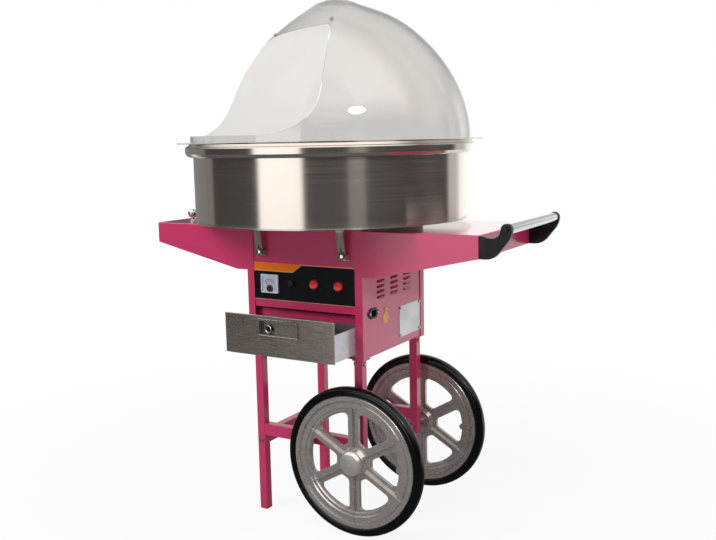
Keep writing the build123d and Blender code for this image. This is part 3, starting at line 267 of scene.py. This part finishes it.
def make_panel_film():
    """Black film with a stepped orange band along its top and a thin line below."""
    made, tree = new_material("panel film")
    where = tree.add("TexCoord").outputs["Object"]
    split = tree.add("SeparateXYZ", {0: where})
    x, z = split.outputs[0], split.outputs[2]
    ramp = tree.math("ADD", tree.math("MULTIPLY", tree.math("SUBTRACT", x, BAND_STEP_X), 0.692), 0.626)
    edge = tree.math("MINIMUM", tree.math("MAXIMUM", ramp, BAND_LOW_Z), BAND_HIGH_Z)
    band = tree.math("GREATER_THAN", z, edge)
    over, under = tree.math("GREATER_THAN", z, LINE_LOW_Z), tree.math("LESS_THAN", z, LINE_HIGH_Z)
    line = tree.math("MULTIPLY", over, under)
    bright = tree.math("GREATER_THAN", z, tree.math("ADD", edge, 0.0022))
    gold = tree.mix(bright, srgb(226, 150, 110), srgb(232, 116, 22))
    film = tree.mix(tree.spread(tree.noise(40.0), 0, 1), srgb(12, 13, 18), srgb(16, 20, 24))
    color = tree.mix(tree.math("MAXIMUM", band, line), film, gold)
    rough = tree.spread(tree.noise(60.0), 0.4, 0.46)
    shader = tree.add("BsdfPrincipled", {"Base Color": color, "Roughness": rough, "Specular IOR Level": 0.12})
    finish_material(tree, shader, (tree.noise(1200.0), 0.02, 0.00002))
    return made


def make_clear(name, tint, edge, gloss=(0.05, 0.3), rough=0.02):
    """Thin clear plastic: it dims what is behind it, most where the sheet is seen along its length."""
    made, tree = new_material(name)
    cloud = tree.spread(tree.noise(3.0), 0, 1)
    facing = tree.add("LayerWeight", {"Blend": 0.5}).outputs["Facing"]
    slant = tree.add("MapRange", {"Value": facing, 1: 0.7, 2: 0.97}).outputs[0]
    plain = tree.mix(cloud, tint, tuple(c * 0.985 for c in tint))
    color = tree.mix(tree.math("POWER", slant, 1.5), plain, edge)
    through = tree.add("BsdfTransparent", {"Color": color})
    gloss_bsdf = tree.add("BsdfGlossy", {"Color": color, "Roughness": rough})
    factor = tree.add("MapRange", {"Value": facing, 1: 0.4, 2: 1.0, 3: gloss[0], 4: gloss[1]}).outputs[0]
    shader = tree.add("MixShader", {0: factor, 1: through.outputs[0], 2: gloss_bsdf.outputs[0]})
    output = tree.add("OutputMaterial")
    tree.tree.links.new(shader.outputs[0], output.inputs["Surface"])
    return made


panel_film = make_panel_film()
clear = make_clear("clear acrylic", srgb(246, 245, 244), srgb(222, 224, 222))
cover_clear = make_clear("meter cover", srgb(250, 250, 252), srgb(240, 240, 242), gloss=(0.04, 0.2))
dial_white = surface("dial card", srgb(214, 220, 232), rough=(0.5, 0.6), vary=0.03)
dial_ink = surface("dial ink", srgb(60, 66, 84), rough=(0.5, 0.6), vary=0.05)
hub_dark = surface("dial hub", srgb(88, 80, 66), rough=(0.2, 0.3), metallic=0.8, vary=0.1)
# Polished acrylic edge: its white emission is a painted glow that stands in for light piped along the sheet
# to its sawn faces.
cut_acrylic_painted_glow = surface(
    "polished acrylic edge with painted glow", srgb(236, 238, 238), rough=(0.1, 0.2), vary=0.02,
    **{"Transmission Weight": 0.2, "Emission Color": (1, 1, 1, 1), "Emission Strength": 0.4},
)
rivet_clear = surface("clear rivet", srgb(176, 176, 172), rough=(0.2, 0.3), vary=0.05, **{"Alpha": 0.45})
lock_dark = surface("lock barrel", srgb(74, 66, 58), rough=(0.15, 0.3), metallic=1.0, vary=0.15, scale=90.0)

BY_SLOT = {
    "pink_paint": pink,
    "zinc_fasteners": zinc,
    "black_bracket": bracket_black,
    "chrome": chrome,
    "panel_film": panel_film,
    "meter_plastic": dial_white,
    "needle_red": needle_red,
    "black_plastic": black_plastic,
    "red_plastic": rocker_red,
    "tag_film": tag_yellow,
    "plate_film": plate_metal,
    "motor_paint": motor_grey,
    "zinc_plate": zinc_plate,
    "brush_plastic": insulator,
    "spindle_steel": zinc,
    "head_aluminium": head_metal,
    "heater_steel": coil_metal,
    "bowl_steel": bowl_steel,
    "clear_plastic": clear,
    "drawer_steel": drawer_steel,
    "wheel_paint": wheel_paint,
    "tyre": rubber,
    "hub_plastic": cap_silver,
}
slot_of = {part["node"]: part["material_slot"] for part in frame["record"]["subparts"]}
SPECIAL = {
    "drawer_tray": tray_steel,
    "drawer_pull": pull_steel,
    "latch_left": latch_metal,
    "latch_right": latch_metal,
    "latch_blocks": latch_metal,
    "latch_keepers": latch_metal,
    "drawer_lock": lock_dark,
    "dome_rivets": rivet_clear,
    "handle_bolts": bracket_black,
}
for name, node in nodes.items():
    for index in range(len(node.material_slots)):
        node.material_slots[index].material = SPECIAL.get(name, BY_SLOT[slot_of[name]])


# ------------------------------------------------------------------ mesh helpers
def put(name, mesh, material, body, smooth=True):
    piece = bpy.data.objects.new(name, mesh)
    bpy.context.scene.collection.objects.link(piece)
    mesh.materials.append(material)
    if smooth:
        mesh.shade_smooth()
    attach(piece, body)
    return piece


def lathe(profile, segments, place):
    """A closed mesh turned round the Y axis through place; the profile is (radius, along) pairs."""
    mesh = bpy.data.meshes.new("lathe")
    work = bmesh.new()
    rows = []
    for step in range(segments):
        angle = 2 * math.pi * step / segments
        c, s = math.cos(angle), math.sin(angle)
        row = []
        for radius, along in profile:
            row.append(work.verts.new(Vector((radius * c, along, radius * s)) + Vector(place)))
        rows.append(row)
    count = len(profile)
    for step in range(segments):
        first, second = rows[step], rows[(step + 1) % segments]
        for i in range(count):
            j = (i + 1) % count
            work.faces.new((first[i], first[j], second[j], second[i]))
    bmesh.ops.remove_doubles(work, verts=work.verts, dist=1e-7)
    bmesh.ops.recalc_face_normals(work, faces=work.faces)
    work.to_mesh(mesh)
    work.free()
    return mesh


# ------------------------------------------------------------------ studio
def make_world():
    """A plain white world, with bands of light that only mirroring surfaces see."""
    world = bpy.data.worlds.new("studio")
    bpy.context.scene.world = world
    world.use_nodes = True
    world.node_tree.nodes.clear()
    tree = Tree(world.node_tree)
    where = tree.add("TexCoord").outputs["Generated"]
    split = tree.add("SeparateXYZ", {0: where})
    heading = tree.math("ARCTAN2", split.outputs[1], split.outputs[0])
    low_down = tree.add("MapRange", {"Value": split.outputs[2], 1: 0.14, 2: 0.3, 3: 1.0, 4: 0.0}).outputs[0]
    strength = 0.0
    for low, high, level in REFLECTED:
        soft = math.radians(1.0)
        above = tree.add("MapRange", {"Value": heading, 1: low - soft, 2: low + soft}).outputs[0]
        fall = {"Value": heading, 1: high - soft, 2: high + soft, 3: 1.0, 4: 0.0}
        below = tree.add("MapRange", fall).outputs[0]
        within = tree.math("MULTIPLY", above, below)
        strength = tree.math("ADD", tree.math("MULTIPLY", within, level), strength)
    strength = tree.math("ADD", tree.math("MULTIPLY", strength, low_down), MIRRORED_BASE)
    behind = tree.add("MapRange", {"Value": split.outputs[1], 1: 0.3, 2: 0.5, 3: 0.0, 4: 0.62}).outputs[0]
    above = tree.add("MapRange", {"Value": split.outputs[2], 1: 0.12, 2: 0.3}).outputs[0]
    ahead = tree.add("MapRange", {"Value": split.outputs[1], 1: 0.1, 2: 0.4, 3: 1.0, 4: 0.0}).outputs[0]
    high_up = tree.add("MapRange", {"Value": split.outputs[2], 1: 0.3, 2: 0.6, 3: 0.0, 4: 1.9}).outputs[0]
    mirrored = tree.math("ADD", strength, tree.math("MULTIPLY", behind, above))
    mirrored = tree.math("ADD", mirrored, tree.math("MULTIPLY", ahead, high_up))
    path = tree.add("LightPath")
    seen = tree.math("ADD", path.outputs["Is Camera Ray"], path.outputs["Is Transmission Ray"], clamp=True)
    glossy = tree.math("MULTIPLY", path.outputs["Is Glossy Ray"], tree.math("SUBTRACT", 1.0, seen))
    plain = tree.math("SUBTRACT", 1.0, tree.math("ADD", seen, glossy), clamp=True)
    total = tree.math("MULTIPLY", glossy, mirrored)
    total = tree.math("ADD", total, tree.math("MULTIPLY", plain, PLAIN_LEVEL))
    total = tree.math("ADD", total, seen)
    background = tree.add("Background", {"Color": (1, 1, 1, 1), "Strength": total})
    output = tree.add("OutputWorld")
    tree.tree.links.new(background.outputs[0], output.inputs["Surface"])


MIRRORED_BASE = 0.066
PLAIN_LEVEL = 0.42
REFLECTED = [  # from heading, to heading, level
    (math.radians(a), math.radians(b), level)
    for a, b, level in (
        (-180, -171, 0.2), (-119, -81, 1.7), (-45, -31, 0.16), (53, 72, 0.6), (72, 118, 1.25), (138, 180, 0.2)
    )
]


def make_floor():
    mesh = bpy.data.meshes.new("floor")
    work = bmesh.new()
    bmesh.ops.create_circle(work, cap_ends=True, segments=96, radius=3.2)
    work.to_mesh(mesh)
    work.free()
    floor = bpy.data.objects.new("floor", mesh)
    bpy.context.scene.collection.objects.link(floor)
    made, tree = new_material("pale floor")
    path = tree.add("LightPath")
    lit = tree.add("BsdfDiffuse", {"Color": (0.86, 0.86, 0.86, 1)})
    white = tree.add("Emission", {"Color": (1, 1, 1, 1), "Strength": 1.0})
    where = tree.add("TexCoord").outputs["Object"]
    place = tree.add("SeparateXYZ", {0: where})
    away = tree.add("VectorMath", {0: where}, operation="LENGTH").outputs["Value"]
    paler = tree.add("MapRange", {"Value": away, 1: 0.6, 2: 1.7, 3: 0.9, 4: 1.0}).outputs[0]
    seen = tree.math("MULTIPLY", path.outputs["Is Camera Ray"], paler)
    rear = tree.add("MapRange", {"Value": place.outputs[1], 1: 0.25, 2: 0.9, 3: 0.14, 4: 1.0}).outputs[0]
    dim = tree.add("Emission", {"Color": (1, 1, 1, 1), "Strength": rear})
    mirrored = tree.add("MixShader", {0: path.outputs["Is Glossy Ray"], 1: lit.outputs[0], 2: dim.outputs[0]})
    shader = tree.add("MixShader", {0: seen, 1: mirrored.outputs[0], 2: white.outputs[0]})
    output = tree.add("OutputMaterial")
    tree.tree.links.new(shader.outputs[0], output.inputs["Surface"])
    mesh.materials.append(made)


def add_lamp(name, place, target, size, power, glossy=False):
    lamp = bpy.data.objects.new(name, bpy.data.lights.new(name, "AREA"))
    lamp.data.shape = "ELLIPSE" if glossy else "RECTANGLE"
    lamp.data.size, lamp.data.size_y = size
    lamp.data.energy = power
    lamp.location = place
    lamp.rotation_euler = (Vector(target) - Vector(place)).to_track_quat("-Z", "Y").to_euler()
    lamp.visible_glossy = glossy
    bpy.context.scene.collection.objects.link(lamp)


bpy.context.scene.view_settings.view_transform = "Standard"
make_camera()
make_world()
make_floor()
add_lamp("key", (-1.4, -2.6, 2.6), (0, 0, 0.7), (1.4, 1.4), 68)
add_lamp("side", (2.6, -0.4, 1.6), (0, 0, 0.6), (1.0, 1.8), 14)
add_lamp("spark", (2.12, -1.63, 2.26), (0, 0, 1.0), (0.66, 0.32), 8, glossy=True)


# ------------------------------------------------------------------ tyres
def tyre_profile():
    rim, crown, half = 0.1621, 0.1825, 0.014
    side = []
    shoulder = rim + 0.007
    for step in range(1, 16):
        angle = math.pi / 2 * step / 16
        side.append((shoulder + (crown - shoulder) * math.sin(angle), half * math.cos(angle) ** 0.62))
    groove = [(rim + 0.004, half), (rim + 0.0046, half - 0.0007), (rim + 0.0052, half), (shoulder, half)]
    outline = [(rim, half - 0.0015), (rim + 0.0025, half)] + groove + side
    return outline + [(crown, 0.0)] + [(radius, -along) for radius, along in reversed(outline)]


WHEEL_Y = {"front": -0.173, "rear": 0.185}
for end, y in WHEEL_Y.items():
    mesh = lathe(tyre_profile(), 160, (AXLE[0], y, AXLE[1]))
    tyre = put("tyre_rubber_" + end, mesh, rubber, "wheel_" + end)
    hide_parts("tyre_" + end)


# ------------------------------------------------------------------ opening's polished edge
OPENING_HEADING = -122.85  # degrees round the dome's axis
OPENING_REACH = 0.0815  # of the cut faces' nearest point, from the axis
OPENING_LOW_Z, OPENING_HIGH_Z = 0.9545, 1.193
SKIN_OFF = 0.00015  # of the skin over the wall


def dome_edge():
    """A skin on the cut faces of the dome's wall, where the sheet was sawn; they shine with smooth gloss and
    a painted glow that stands in for light piped along the sheet.
    """
    source = nodes["dome"].data
    heading = math.radians(OPENING_HEADING)
    out = Vector((math.cos(heading), math.sin(heading), 0))
    side = Vector((-math.sin(heading), math.cos(heading), 0))
    work = bmesh.new()
    for face in source.polygons:
        if abs(face.normal.dot(side)) > 0.004:
            continue
        spots = [source.vertices[i].co for i in face.vertices]
        reach = [(spot - Vector((BOWL_X, 0, 0))).dot(out) for spot in spots]
        heights = [spot.z for spot in spots]
        if min(reach) < OPENING_REACH or max(heights) > OPENING_HIGH_Z or min(heights) < OPENING_LOW_Z:
            continue
        work.faces.new([work.verts.new(spot + face.normal * SKIN_OFF) for spot in spots])
    bmesh.ops.remove_doubles(work, verts=work.verts, dist=1e-6)
    mesh = bpy.data.meshes.new("dome edge")
    work.to_mesh(mesh)
    work.free()
    return mesh


# Skin over the sawn faces of the opening, in the material with the painted glow.
put("dome_cut_edge", dome_edge(), cut_acrylic_painted_glow, "dome", smooth=False)


# ------------------------------------------------------------------ voltmeter face
METER = (CART_X - 0.097, FRONT_Y - 0.005, 0.594)
DIAL_Y = METER[1] + 0.0026
PIVOT_Z = METER[2] - 0.008


def flat_strip(work, start, end, width, y):
    """A thin closed bar on the dial, from start to end."""
    along = Vector((end[0] - start[0], 0, end[1] - start[1])).normalized()
    across = Vector((-along.z, 0, along.x)) * width / 2
    around = ((start, -1), (end, -1), (end, 1), (start, 1))
    corners = [Vector((spot[0], y, spot[1])) + sign * across for spot, sign in around]
    front = [work.verts.new(corner) for corner in corners]
    back = [work.verts.new(corner + Vector((0, 0.0001, 0))) for corner in corners]
    work.faces.new(front)
    work.faces.new(back[::-1])
    for i in range(4):
        work.faces.new((front[i], back[i], back[(i + 1) % 4], front[(i + 1) % 4]))


ARC_OUT, ARC_IN = 0.0203, 0.0165
TICKS = 30


def make_scale():
    work = bmesh.new()
    y = DIAL_Y - 0.00015

    def on_dial(angle, radius):
        return (METER[0] + radius * math.cos(angle), PIVOT_Z + radius * math.sin(angle))

    for step in range(TICKS + 1):
        angle = math.radians(135 - 90 * step / TICKS)
        inner, wide = (0.0175, 0.0005) if step % 5 == 0 else (0.0188, 0.0003)
        flat_strip(work, on_dial(angle, inner), on_dial(angle, ARC_OUT), wide, y)
    for step in range(24):
        first, second = (math.radians(135 - 90 * (step + more) / 24) for more in (0, 1.02))
        flat_strip(work, on_dial(first, ARC_OUT), on_dial(second, ARC_OUT), 0.0003, y)
        flat_strip(work, on_dial(first, ARC_IN), on_dial(second, ARC_IN), 0.0002, y)
    flat_strip(work, (METER[0] - 0.02, PIVOT_Z - 0.0035), (METER[0] + 0.02, PIVOT_Z - 0.0035), 0.0003, y)
    mesh = bpy.data.meshes.new("scale")
    bmesh.ops.recalc_face_normals(work, faces=work.faces)
    work.to_mesh(mesh)
    work.free()
    return mesh


put("meter_scale", make_scale(), dial_ink, "cart", smooth=False)
NUMBER_R = 0.0136
for index, number in enumerate(("0", "100", "200", "300")):
    angle = math.radians(131 - 82 * index / 3)
    letters = bpy.data.curves.new("number", "FONT")
    letters.body, letters.size, letters.align_x, letters.align_y = number, 0.0036, "CENTER", "CENTER"
    letters.materials.append(dial_ink)
    figure = bpy.data.objects.new("meter_number_" + number, letters)
    out_x, out_z = NUMBER_R * math.cos(angle), NUMBER_R * math.sin(angle)
    place = Vector((METER[0] + out_x, DIAL_Y - 0.0002, PIVOT_Z + out_z))
    figure.matrix_world = Matrix.Translation(place) @ Matrix.Rotation(math.pi / 2, 4, "X")
    bpy.context.scene.collection.objects.link(figure)
    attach(figure, "cart")

hub = lathe(
    [(0.0, 0.0), (0.0092, 0.0), (0.0096, -0.0006), (0.0092, -0.0012), (0.006, -0.0014), (0.0, -0.0013)],
    48, (METER[0], DIAL_Y - 0.00002, METER[2] - 0.0125),
)
put("meter_hub", hub, hub_dark, "cart")


CORNERS = ((1, 1), (-1, 1), (-1, -1), (1, -1))


def rounded_slab(center, wide, high, y0, y1, corner, steps=6):
    """A slab facing the drawer side, with rounded corners."""
    work = bmesh.new()
    rim = []
    for quarter, (sx, sz) in enumerate(CORNERS):
        for step in range(steps + 1):
            angle = math.pi / 2 * (quarter + step / steps)
            x = sx * (wide / 2 - corner) + corner * math.cos(angle)
            z = sz * (high / 2 - corner) + corner * math.sin(angle)
            rim.append((x, z))
    front = [work.verts.new((center[0] + x, y0, center[1] + z)) for x, z in rim]
    back = [work.verts.new((center[0] + x, y1, center[1] + z)) for x, z in rim]
    work.faces.new(front)
    work.faces.new(back[::-1])
    for i in range(len(rim)):
        work.faces.new((front[i], back[i], back[(i + 1) % len(rim)], front[(i + 1) % len(rim)]))
    bmesh.ops.recalc_face_normals(work, faces=work.faces)
    mesh = bpy.data.meshes.new("slab")
    work.to_mesh(mesh)
    work.free()
    return mesh


cover = rounded_slab((METER[0], METER[2]), 0.0452, 0.0407, METER[1], METER[1] + 0.0006, 0.0014)
put("meter_cover", cover, cover_clear, "cart", smooth=False)


# ------------------------------------------------------------------ rings, latch tips and the pull's rim
def ring(name, center, inner, outer, high, material, body):
    """A low rounded ring standing out towards the drawer side."""
    middle = (inner + outer) / 2
    half = (outer - inner) / 2
    profile = []
    for step in range(9):
        angle = math.pi * step / 8
        profile.append((middle - half * math.cos(angle), -high * math.sin(angle)))
    return put(name, lathe(profile, 72, center), material, body)


for side, x in (("left", 0.0327), ("right", 0.1007)):
    ring("switch_bezel_" + side, (CART_X + x, FRONT_Y - 0.002, 0.5995), 0.0120, 0.0141, 0.0011,
         black_plastic, "cart")

ring("lock_ring", (-0.067, -0.2653, 0.506), 0.0062, 0.0099, 0.0014, chrome, "drawer_lock")
for side, x in (("left", -0.155), ("right", 0.081)):
    tip = [(0.0, 0.0), (0.0088, 0.0), (0.0094, -0.0008), (0.0086, -0.0018), (0.0045, -0.0026), (0.0, -0.0027)]
    put("latch_tip_" + side, lathe(tip, 48, (x, -0.1762, 0.6725)), chrome, "latch_" + side)


BEVEL = 0.0003


def frame_loop(center, wide, high, width, y0, y1, corner=0.0015, steps=4):
    """A raised rectangular rim facing the drawer side."""
    work = bmesh.new()
    loops = []
    outside = ((0.0, y1), (0.0, y0 + BEVEL), (BEVEL, y0))
    inside = ((width - BEVEL, y0), (width, y0 + BEVEL), (width, y1))
    for shrink, y in outside + inside:
        loop = []
        for quarter, (sx, sz) in enumerate(CORNERS):
            for step in range(steps + 1):
                angle = math.pi / 2 * (quarter + step / steps)
                radius = max(corner - shrink, 0.0002)
                x = sx * (wide / 2 - shrink - radius) + radius * math.cos(angle)
                z = sz * (high / 2 - shrink - radius) + radius * math.sin(angle)
                loop.append(work.verts.new((center[0] + x, y, center[1] + z)))
        loops.append(loop)
    loops.append(loops[0])
    for first, second in zip(loops, loops[1:]):
        for i in range(len(first)):
            j = (i + 1) % len(first)
            work.faces.new((first[i], second[i], second[j], first[j]))
    bmesh.ops.recalc_face_normals(work, faces=work.faces)
    mesh = bpy.data.meshes.new("frame loop")
    work.to_mesh(mesh)
    work.free()
    return mesh


low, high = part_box("drawer_pull")
pull_rim = frame_loop(
    ((low[0] + high[0]) / 2, (low[2] + high[2]) / 2), high[0] - low[0], high[2] - low[2], 0.0022,
    low[1] - 0.0006, low[1] + 0.0008,
)
put("pull_rim", pull_rim, chrome, "drawer", smooth=False)
